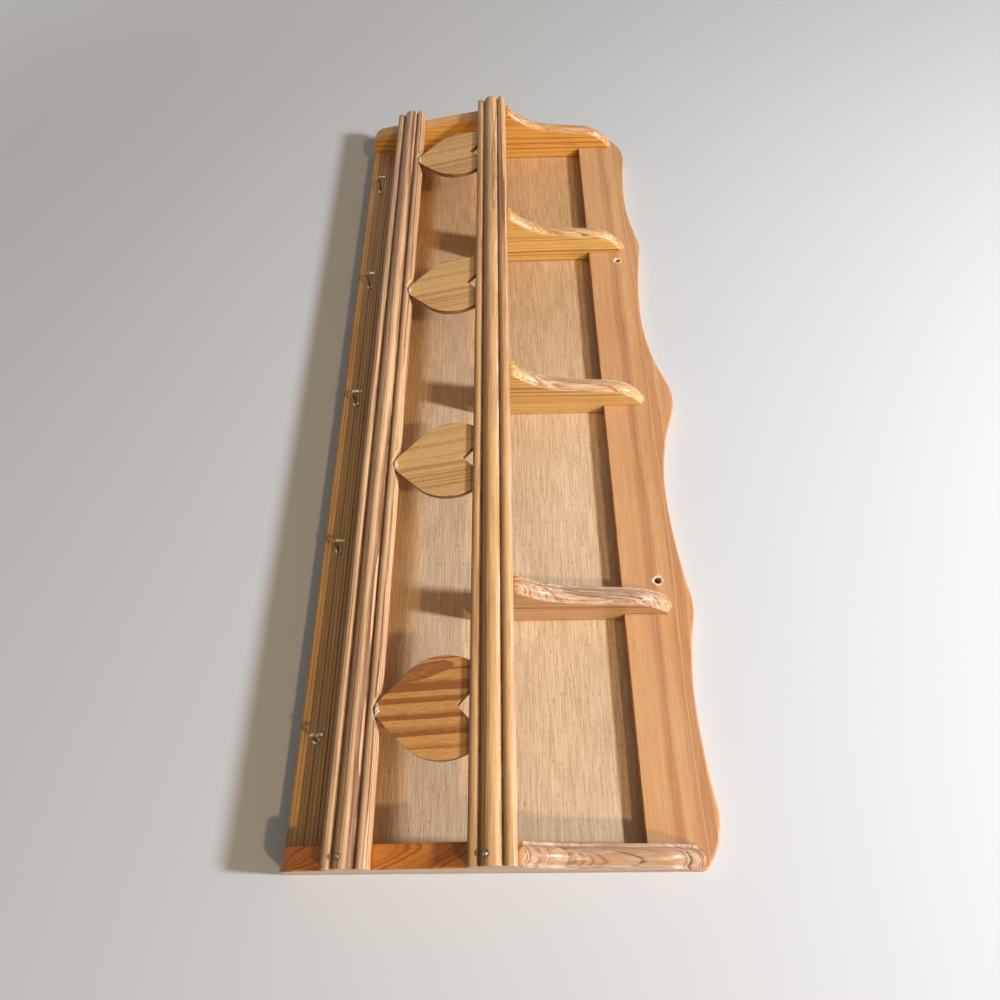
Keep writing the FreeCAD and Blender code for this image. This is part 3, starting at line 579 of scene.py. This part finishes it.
    def facing(self, nodes: Tree, way: Triple, reach: Pair) -> Socket:
        """Find the faces that look one way.

        Args:
            nodes: The material's tree.
            way: The direction, of length 1.
            reach: Cosine at which the mask is 0 and cosine at which it is 1.

        Returns:
            A mask of those faces.
        """
        normal = nodes.add("NewGeometry").outputs["Normal"]
        return nodes.step(nodes.vector("DOT_PRODUCT", normal, way), *reach)

    def late_oval(self, nodes: Tree, place: Socket) -> Socket:
        """Find the tongue of late wood, darkest along its rim.

        Args:
            nodes: The material's tree.
            place: Position with the grain along X.

        Returns:
            A mask of the tongue.
        """
        ragged = nodes.noise(place, self.tongue.ragged_waves, 2.0).outputs["Color"]
        ragged = nodes.scale(nodes.vector("SUBTRACT", ragged, (0.5, 0.5, 0.5)), self.waver)
        away = nodes.vector("ADD", nodes.vector("SUBTRACT", place, self.tongue.centre), ragged)
        split = nodes.add("SeparateXYZ")
        nodes.feed(split.inputs[0], away)
        across = nodes.math("MULTIPLY_ADD", split.outputs[0], -self.tongue.slope, split.outputs[1])
        flat = nodes.add("CombineXYZ")
        nodes.feed(flat.inputs[0], nodes.math("DIVIDE", split.outputs[0], self.tongue.length))
        nodes.feed(flat.inputs[1], nodes.math("DIVIDE", across, self.tongue.width))
        reach = nodes.vector("LENGTH", flat.outputs[0])
        inside = nodes.step(reach, *self.tongue.rim)
        rim = nodes.step(reach, 0.0, 1.0, self.tongue.core * self.tongue.depth, self.tongue.depth)
        return nodes.math("MULTIPLY", inside, rim)

    def streaks(self, nodes: Tree, along: Socket, fibre: Socket) -> Socket:
        """Find pale streaks: partly wood bleached by hands and cloths, partly painted highlight.

        Args:
            nodes: The material's tree.
            along: Position with the grain along X.
            fibre: The fibre mask, which the streaks follow.

        Returns:
            A mask of the pale streaks, partly wear and partly painted highlight.
        """
        patch = nodes.noise(along, self.streak_waves, 3.0, 0.65).outputs["Fac"]
        patch = nodes.step(patch, *self.streak_range)
        streak = nodes.math("MULTIPLY_ADD", fibre, -self.streak_fibre, 1.0)
        return nodes.math("MULTIPLY", nodes.math("MULTIPLY", patch, streak), self.bleach_and_highlight)

    def marks(self, nodes: Tree, place: Socket, colour: Socket) -> Socket:
        """Add marks that only one board has. A plain board has none.

        Args:
            nodes: The material's tree.
            place: Position in the frame of the rack.
            colour: The colour so far.

        Returns:
            The colour with the marks.
        """
        return colour


@dataclass(frozen=True)
class DrilledPineFinish(PineFinish):
    """Pine with pale torn wood round its screw holes."""

    holes: tuple[Triple, ...] = ()
    torn: Colour = (0.86, 0.74, 0.56)
    reach: float = 5.5 * MM
    tearing: float = 7.0 * MM
    tear_waves: Triple = (520.0, 520.0, 520.0)
    tear_edge: Pair = (0.22, 0.05)

    def marks(self, nodes: Tree, place: Socket, colour: Socket) -> Socket:
        """Paint a ragged pale ring round each hole.

        Args:
            nodes: The material's tree.
            place: Position in the frame of the rack.
            colour: The colour so far.

        Returns:
            The colour with the rings.
        """
        ragged = nodes.noise(place, self.tear_waves, 3.0, 0.7).outputs["Fac"]
        for hole in self.holes:
            away = nodes.vector("DISTANCE", place, hole)
            away = nodes.math("MULTIPLY_ADD", ragged, -self.tearing, away)
            near = nodes.step(away, *(self.reach * share for share in self.tear_edge))
            colour = nodes.mix(near, colour, self.torn)
        return colour


@dataclass(frozen=True)
class MetalFinish:
    """Brass or steel that has dulled."""

    name: str
    bright: Colour
    dull: Colour
    tarnish: float = 0.8
    roughness: float = 0.3
    dull_roughness: float = 0.3
    dull_metal: float = 0.65
    blotches: Triple = (380.0, 380.0, 380.0)
    blotch_range: Pair = (0.3, 0.65)
    edge_radius: float = 0.5 * MM
    relief: float = 0.15
    relief_depth: float = 0.1 * MM

    def build(self) -> bpy.types.Material:
        """Build the material.

        Returns:
            The material.
        """
        material, nodes, shader = new_material(self.name)
        place = nodes.add("TexCoord").outputs["Object"]
        blotch = nodes.step(nodes.noise(place, self.blotches, 3.0).outputs["Fac"], *self.blotch_range)
        wear = nodes.group(groups.wear.tree, Vector=place, Radius=self.edge_radius).outputs
        dull = nodes.math("MULTIPLY", blotch, self.tarnish)
        dull = nodes.math("SUBTRACT", dull, wear["Wear"], clamp=True)
        nodes.feed(shader.inputs["Base Color"], nodes.mix(dull, self.bright, self.dull))
        rough = nodes.math("MULTIPLY_ADD", dull, self.dull_roughness, self.roughness)
        nodes.feed(shader.inputs["Roughness"], rough)
        metal = nodes.math("MULTIPLY_ADD", dull, self.dull_metal - 1.0, 1.0)
        nodes.feed(shader.inputs["Metallic"], metal)
        bump = nodes.add("Bump")
        nodes.feed(bump.inputs["Height"], blotch)
        nodes.feed(bump.inputs["Normal"], wear["Normal"])
        bump.inputs["Strength"].default_value = self.relief
        bump.inputs["Distance"].default_value = self.relief_depth
        nodes.feed(shader.inputs["Normal"], bump.outputs["Normal"])
        return material


@dataclass(frozen=True)
class GlueFinish:
    """Dried glue: pale, greenish and uneven."""

    name: str = "dried_glue"
    thin: Colour = (0.50, 0.42, 0.28)
    thick: Colour = (0.82, 0.77, 0.64)
    blotches: Triple = (500.0, 500.0, 500.0)
    blotch_range: Pair = (0.2, 0.8)
    roughness: Pair = (0.25, 0.5)

    def build(self) -> bpy.types.Material:
        """Build the material, or fetch it where it is there already.

        Returns:
            The material.
        """
        found = bpy.data.materials.get(self.name)
        if found:
            return found
        material, nodes, shader = new_material(self.name)
        place = nodes.add("TexCoord").outputs["Object"]
        blotch = nodes.noise(place, self.blotches, 2.0).outputs["Fac"]
        nodes.feed(shader.inputs["Base Color"], nodes.mix(blotch, self.thin, self.thick))
        nodes.feed(shader.inputs["Roughness"], nodes.step(blotch, *self.blotch_range, *self.roughness))
        return material


def dress(node: str, finish: PineFinish | MetalFinish) -> None:
    """Give a CAD node its finish.

    Args:
        node: The node's name.
        finish: The finish to build for it.
    """
    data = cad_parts[node].data
    data.materials.clear()
    data.materials.append(finish.build())
    LOG.info("%s: %s", node, finish.name)


@dataclass
class Rails:
    """Top rail, hook rail, shelf board and back panel."""

    screw_half_spacing: float = 188.0 * MM

    def make(self) -> None:
        """Dress the boards that run along the rack."""
        holes = tuple((way * self.screw_half_spacing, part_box("top_rail")[0].y, 0.0) for way in (-1, 1))
        # The top rail's front gets faint pale streaks: partly wear, partly painted highlight.
        dress("top_rail", DrilledPineFinish(
            "pine_top_rail", (0.66, 0.38, 0.18), (0.38, 0.155, 0.07), pith=(0.0, 0.12, -0.10), spacing=0.0125,
            waver=0.007, rings=0.6, fibre=0.1, fleck=0.2, cloud=0.25, rub=0.85, bleach_and_highlight=0.12, onset=0.1,
            drift=1.2, worn=(0.86, 0.66, 0.48), scratched=0.12, holes=holes))
        dress("hook_rail", PineFinish(
            "pine_hook_rail", (0.94, 0.56, 0.24), (0.15, 0.065, 0.022), pith=(0.0, 0.05, 0.6), spacing=0.0029,
            waver=0.0005, rings=1.0, fibre=0.2, fleck=0.2, cloud=0.1, drift=0.9, onset=0.3))
        dress("shelf_board", PineFinish(
            "pine_shelf", (0.68, 0.40, 0.18), (0.42, 0.20, 0.07), pith=(0.0, 0.05, -0.4), spacing=0.004))
        # The back panel is tinted darker and warmer towards its left end.
        dress("back_panel", PineFinish(
            "pine_back_panel", (0.79, 0.62, 0.44), (0.40, 0.26, 0.145), pith=(0.0, 0.6, -0.1), spacing=0.011,
            waver=0.004, rings=0.1, fibre=0.55, fleck=0.7, cloud=0.2, coat=0.05, roughness=0.5,
            fineness=2.1, amber=Amber()))


@dataclass(frozen=True)
class UprightLook:
    """What sets one upright apart from the others."""

    node: str
    early: Colour
    late: Colour
    spacing: float
    pith: Pair = (-0.10, 0.06)
    waver: float = 0.003
    # Share of pale streaks on the nose's front: partly wear, partly painted highlight.
    bleach_and_highlight: float = 0.6
    worn: Colour = (0.82, 0.70, 0.64)
    amber: Amber | None = None


@dataclass
class Uprights:
    """End panels and dividers."""

    nose_start: float = -118.0 * MM
    shift_step: float = 0.31
    # Tint of the noses' front faces, under their pale streaks of wear and painted highlight.
    facing_tint: Colour = (0.74, 0.70, 0.76)
    looks: tuple[UprightLook, ...] = (
        UprightLook("left_end_panel", (0.88, 0.48, 0.11), (0.34, 0.10, 0.015), 3.7 * MM),
        UprightLook("divider_left", (0.88, 0.57, 0.18), (0.34, 0.13, 0.02), 2.3 * MM),
        UprightLook("divider_middle", (0.90, 0.60, 0.23), (0.36, 0.14, 0.03), 3.3 * MM),
        UprightLook("divider_right", (0.80, 0.51, 0.26), (0.26, 0.11, 0.045), 1.9 * MM),
        UprightLook("right_end_panel", (0.72, 0.46, 0.24), (0.20, 0.08, 0.035), 5.0 * MM, pith=(-0.016, 0.01),
                    waver=0.007, bleach_and_highlight=0.4, worn=(0.78, 0.64, 0.56),
                    amber=Amber((0.88, 0.47, 0.10), axis=2, pale=-0.112, deep=-0.13, front_only=True)),
    )

    def make(self) -> None:
        """Dress each upright with its own stretch of grain."""
        for index, look in enumerate(self.looks):
            low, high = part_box(look.node)
            pith = (0.0, (low.x + high.x) / 2 + look.pith[0], look.pith[1])
            dress(look.node, PineFinish(
                "pine_" + look.node, look.early, look.late, Grain.ALONG_Z, pith=pith,
                shift=(self.shift_step * index, 0.0, 0.0), spacing=look.spacing, waver=look.waver, rings=1.0,
                fibre=0.14, cloud=0.18, onset=0.42, rub=0.7, coat=0.3, bleach_and_highlight=look.bleach_and_highlight,
                bleach_and_highlight_from=self.nose_start, worn=look.worn, facing_tint=self.facing_tint, amber=look.amber))


@dataclass
class Mouldings:
    """The two front mouldings."""

    def make(self) -> None:
        """Dress both mouldings."""
        # The lower moulding's front faces get pale streaks: partly wear, partly painted highlight.
        dress("lower_moulding", PineFinish(
            "pine_lower_moulding", (0.92, 0.61, 0.36), (0.20, 0.075, 0.025), pith=(0.0, 0.06, -0.36),
            spacing=0.0023, waver=0.0045, rings=0.9, fibre=0.28, cloud=0.25, groove=1.0, rub=0.75,
            bleach_and_highlight=0.22, worn=(0.86, 0.64, 0.48), fineness=1.6, onset=0.55, drift=1.2, hollow=6.0 * MM,
            gum_and_shade=(0.20, 0.08, 0.025)))
        # The upper moulding's upward faces get pale streaks: partly wear, partly painted highlight where they
        # face the lamps.
        dress("upper_moulding", PineFinish(
            "pine_upper_moulding", (0.84, 0.54, 0.26), (0.26, 0.10, 0.03), pith=(0.0, 0.2, -0.25),
            spacing=0.0042, waver=0.006, rings=0.9, fibre=0.3, cloud=0.42, groove=1.0, rub=0.8, bleach_and_highlight=0.9,
            bleach_and_highlight_way=(0.0, 0.0, 1.0), worn=(0.88, 0.72, 0.60), fineness=1.6, onset=0.6, hollow=6.0 * MM,
            gum_and_shade=(0.16, 0.06, 0.015)))


@dataclass
class Hearts:
    """The hearts between the mouldings, and the glue at their tips."""

    count: int = 4
    smear_half: float = 3.6 * MM
    smear_height: float = 2.0 * MM
    smear_depth: float = 1.3 * MM
    ragged: float = 0.55
    tip_behind: float = 11.0 * MM
    tip_above: float = 0.9 * MM
    lumps: float = 1.6
    lump_step: float = 7.0
    lump_detail: tuple[float, float, int] = (0.7, 2.1, 5)
    smear_cuts: int = 5
    pith_start: float = -0.75
    pith_step: float = 0.2
    shift_step: float = 0.17
    last_pith: float = -0.5032
    tongue_above: float = 30.0 * MM
    tongue_aside: float = 11.6 * MM
    tongue_length: float = 25.0 * MM
    tongue_width: float = 6.0 * MM
    tongue_slope: float = -0.22
    tongue_depth: float = 0.7

    def make(self) -> None:
        """Dress the hearts and smear glue at each tip."""
        for index in range(1, self.count):
            node = f"heart_{index}"
            dress(node, PineFinish(
                "pine_" + node, (0.78, 0.49, 0.215), (0.40, 0.20, 0.07), Grain.ALONG_Z,
                pith=(0.0, self.pith_start + self.pith_step * index, 0.05),
                shift=(self.shift_step * index, 0.0, 0.0), spacing=0.0095, waver=0.005, rings=0.75, fibre=0.2,
                cloud=0.25, side_darkening=0.7, onset=0.6, fineness=1.4, rub=1.0, worn=(0.86, 0.72, 0.48)))
            self.smear_glue(node, index)
        node = f"heart_{self.count}"
        low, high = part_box(node)
        centre = (low.z + self.tongue_above, low.x + self.tongue_aside, low.y)
        tongue = Tongue(centre, self.tongue_length, self.tongue_width, self.tongue_slope, self.tongue_depth)
        dress(node, PineFinish(
            "pine_" + node, (0.72, 0.38, 0.12), (0.31, 0.11, 0.03), Grain.ALONG_Z,
            pith=(0.0, self.last_pith, 0.0), spacing=0.0105, waver=0.004, rings=1.0, fibre=0.3, cloud=0.2,
            tongue=tongue, side_darkening=0.7, onset=0.45, drift=0.9, fineness=1.3, rub=0.8, worn=(0.80, 0.58, 0.36)))
        self.smear_glue(node, self.count)

    def smear_glue(self, node: str, seed: int) -> None:
        """Put an uneven smear of dried glue where the tip meets the lower moulding.

        Args:
            node: The heart's node.
            seed: Start of the smear's uneven shape.
        """
        low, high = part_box(node)
        up = Vector((0.0, -math.sin(EDGE_SLOPE), math.cos(EDGE_SLOPE)))
        outward = (Vector(FRONT) - up).normalized()
        down = (-up - Vector(FRONT)).normalized()
        across = Vector((1.0, 0.0, 0.0))
        tip = Vector(((low.x + high.x) / 2, low.y + self.tip_behind, low.z + self.tip_above))
        mesh = bmesh.new()
        bmesh.ops.create_icosphere(mesh, subdivisions=self.smear_cuts, radius=1.0)
        for vertex in mesh.verts:
            place = vertex.co * self.lumps + Vector((seed * self.lump_step, 0.0, 0.0))
            point = vertex.co * (1.0 + self.ragged * noise.fractal(place, *self.lump_detail))
            vertex.co = tip + across * (point.x * self.smear_half) + down * (point.y * self.smear_height)
            vertex.co += outward * (point.z * self.smear_depth)
        piece = mesh_object(f"glue_{seed}", mesh, smooth=True)
        piece.data.materials.append(GlueFinish().build())
        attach(piece, BODY)
        LOG.info("%s: dried glue", piece.name)


def mesh_object(name: str, mesh: bmesh.types.BMesh, smooth: bool = False) -> bpy.types.Object:
    """Turn a mesh into a linked object.

    Args:
        name: The object's name.
        mesh: The mesh, which is freed.
        smooth: Whether its faces are shaded smooth.

    Returns:
        The object.
    """
    data = bpy.data.meshes.new(name)
    mesh.to_mesh(data)
    mesh.free()
    if smooth:
        data.shade_smooth()
    piece = bpy.data.objects.new(name, data)
    bpy.context.scene.collection.objects.link(piece)
    return piece


@dataclass
class Hardware:
    """Hooks, pins and nails."""

    hooks: int = 5
    pins: tuple[str, ...] = ("lower_moulding_pins", "upper_moulding_pins")
    nails: tuple[str, ...] = ("top_rail_nails", "divider_nails", "back_panel_nails", "hook_rail_nails",
                              "shelf_nails")

    def make(self) -> None:
        """Dress the brass hooks and the steel pins and nails."""
        for node in (f"hook_{index}" for index in range(1, self.hooks + 1)):
            dress(node, MetalFinish("brass_" + node, (0.72, 0.6, 0.38), (0.03, 0.024, 0.014), tarnish=0.75))
        for node in self.pins:
            dress(node, MetalFinish("steel_" + node, (0.34, 0.31, 0.26), (0.10, 0.08, 0.055), tarnish=0.85))
        for node in self.nails:
            dress(node, MetalFinish("steel_" + node, (0.45, 0.44, 0.43), (0.18, 0.15, 0.13)))


@dataclass(frozen=True)
class Lamp:
    """A round soft lamp that points at the rack."""

    name: str
    place: Triple
    size: float
    energy: float
    colour: Colour


@dataclass
class Studio:
    """The wall behind the rack, the light and the camera."""

    wall_half: float = 4.0
    wall_gap: float = 0.6 * MM
    rear_reach: float = 2.5 * MM
    fade: Pair = (0.6, 2.6)
    wall_colour: Colour = (0.60, 0.65, 0.73)
    wall_roughness: float = 0.8
    sky: Colour = (0.90, 0.77, 0.60)
    backdrop: Colour = (0.86, 0.86, 0.86)
    fill: float = 0.185
    rear_fill: float = 0.95
    fill_axis: Triple = (0.80, -0.40, 0.45)
    rear_edge: float = 0.3
    lamps: tuple[Lamp, ...] = (
        Lamp("window", (0.50, -1.11, 1.42), 0.19, 40.5, (1.0, 1.0, 1.0)),
        Lamp("room", (1.87, -2.4, 1.55), 0.21, 37.0, (1.0, 0.66, 0.31)),
    )
    aim: Triple = (0.0, 0.0, -0.12)
    eye: Triple = (0.4324, -0.5653, -0.1205)
    target: Triple = (0.1007, 0.0, -0.1289)
    roll: float = -0.43
    lens: float = 26.25
    sensor: float = 36.0
    nearest: float = 20.0 * MM

    def make(self) -> None:
        """Build wall, world, lamps and camera."""
        self.make_wall()
        self.make_world()
        for lamp in self.lamps:
            self.make_lamp(lamp)
        self.make_camera()

    def make_wall(self) -> None:
        """Build the pale wall, which shows from its front only and fades into the backdrop.

        Rays that start just in front of it pass, so that the rack's rear is lit and can be seen from behind.
        """
        mesh = bmesh.new()
        half = self.wall_half
        corners = [mesh.verts.new((x, self.wall_gap, z)) for x, z in
                   ((-half, -half), (half, -half), (half, half), (-half, half))]
        mesh.faces.new(corners)
        wall = mesh_object("wall", mesh)
        wall.data.materials.append(self.wall_paint())

    def wall_paint(self) -> bpy.types.Material:
        """Build the wall's paint, which is clear from behind and for rays that start close to it.

        Returns:
            The material.
        """
        material, nodes, shader = new_material("wall_paint")
        shader.inputs["Base Color"].default_value = (*self.wall_colour, 1.0)
        shader.inputs["Roughness"].default_value = self.wall_roughness
        path = nodes.add("LightPath").outputs
        geometry = nodes.add("NewGeometry").outputs
        pale = nodes.add("Emission")
        pale.inputs["Color"].default_value = (*self.backdrop, 1.0)
        away = nodes.vector("LENGTH", geometry["Position"])
        fade = nodes.math("MULTIPLY", nodes.step(away, *self.fade), path["Is Camera Ray"])
        paint = nodes.add("MixShader")
        for target, source in zip(paint.inputs, (fade, shader.outputs[0], pale.outputs[0])):
            nodes.feed(target, source)
        near = nodes.math("LESS_THAN", path["Ray Length"], self.rear_reach)
        clear = nodes.add("BsdfTransparent")
        blend = nodes.add("MixShader")
        hidden = nodes.math("MAXIMUM", geometry["Backfacing"], near)
        for target, source in zip(blend.inputs, (hidden, paint.outputs[0], clear.outputs[0])):
            nodes.feed(target, source)
        nodes.feed(material.node_tree.nodes["Material Output"].inputs["Surface"], blend.outputs[0])
        return material

    def make_world(self) -> None:
        """Light the rack softly, more from its right end and its rear, with a pale backdrop for the camera."""
        world = bpy.data.worlds.new("studio")
        bpy.context.scene.world = world
        world.use_nodes = True
        nodes = Tree(world.node_tree)
        background = world.node_tree.nodes["Background"]
        path = nodes.add("LightPath").outputs
        seen = nodes.math("MAXIMUM", path["Is Camera Ray"], path["Is Glossy Ray"])
        seen = nodes.math("MAXIMUM", seen, path["Is Transmission Ray"])
        way = nodes.add("TexCoord").outputs["Generated"]
        side = nodes.vector("DOT_PRODUCT", way, self.fill_axis)
        glow = nodes.math("MULTIPLY", nodes.step(side, -1.0, 1.0, 0.0, 2.0), self.fill)
        rearward = nodes.vector("DOT_PRODUCT", way, (0.0, 1.0, 0.0))
        behind = nodes.step(rearward, 0.0, self.rear_edge, 0.0, self.rear_fill)
        glow = nodes.math("ADD", glow, behind)
        nodes.feed(background.inputs["Color"], nodes.mix(seen, self.sky, self.backdrop))
        strength = nodes.add("Mix", data_type="FLOAT")
        nodes.feed(strength.inputs[0], seen)
        nodes.feed(strength.inputs[2], glow)
        strength.inputs[3].default_value = 1.0
        nodes.feed(background.inputs["Strength"], strength.outputs[0])

    def make_lamp(self, lamp: Lamp) -> None:
        """Place a lamp.

        Args:
            lamp: Its place, size, power and colour.
        """
        light = bpy.data.lights.new(lamp.name, "AREA")
        light.shape = "DISK"
        light.size = lamp.size
        light.energy = lamp.energy
        light.color = lamp.colour
        item = bpy.data.objects.new(lamp.name, light)
        item.location = lamp.place
        item.rotation_mode = "QUATERNION"
        item.rotation_quaternion = (Vector(self.aim) - item.location).to_track_quat("-Z", "Y")
        bpy.context.scene.collection.objects.link(item)

    def make_camera(self) -> None:
        """Stand the camera where the photograph was taken, with the rack's left end at the top."""
        data = bpy.data.cameras.new("camera")
        data.lens = self.lens
        data.sensor_width = self.sensor
        data.clip_start = self.nearest
        camera = bpy.data.objects.new("camera", data)
        eye = Vector(self.eye)
        ahead = (Vector(self.target) - eye).normalized()
        side = ahead.cross(Vector((-1.0, 0.0, 0.0))).normalized()
        above = side.cross(ahead)
        turn = Matrix((side, above, -ahead)).transposed()
        camera.matrix_world = Matrix.Translation(eye) @ turn.to_4x4() @ Matrix.Rotation(
            math.radians(self.roll), 4, "Z")
        bpy.context.scene.collection.objects.link(camera)
        bpy.context.scene.camera = camera


def main() -> None:
    """Dress the rack, light it and frame it."""
    logging.basicConfig(level=logging.INFO, format="%(name)s: %(message)s")
    bpy.context.scene.view_settings.view_transform = "Standard"
    for part in (Rails(), Uprights(), Mouldings(), Hearts(), Hardware(), Studio()):
        part.make()


if __name__ == "__main__":
    main()
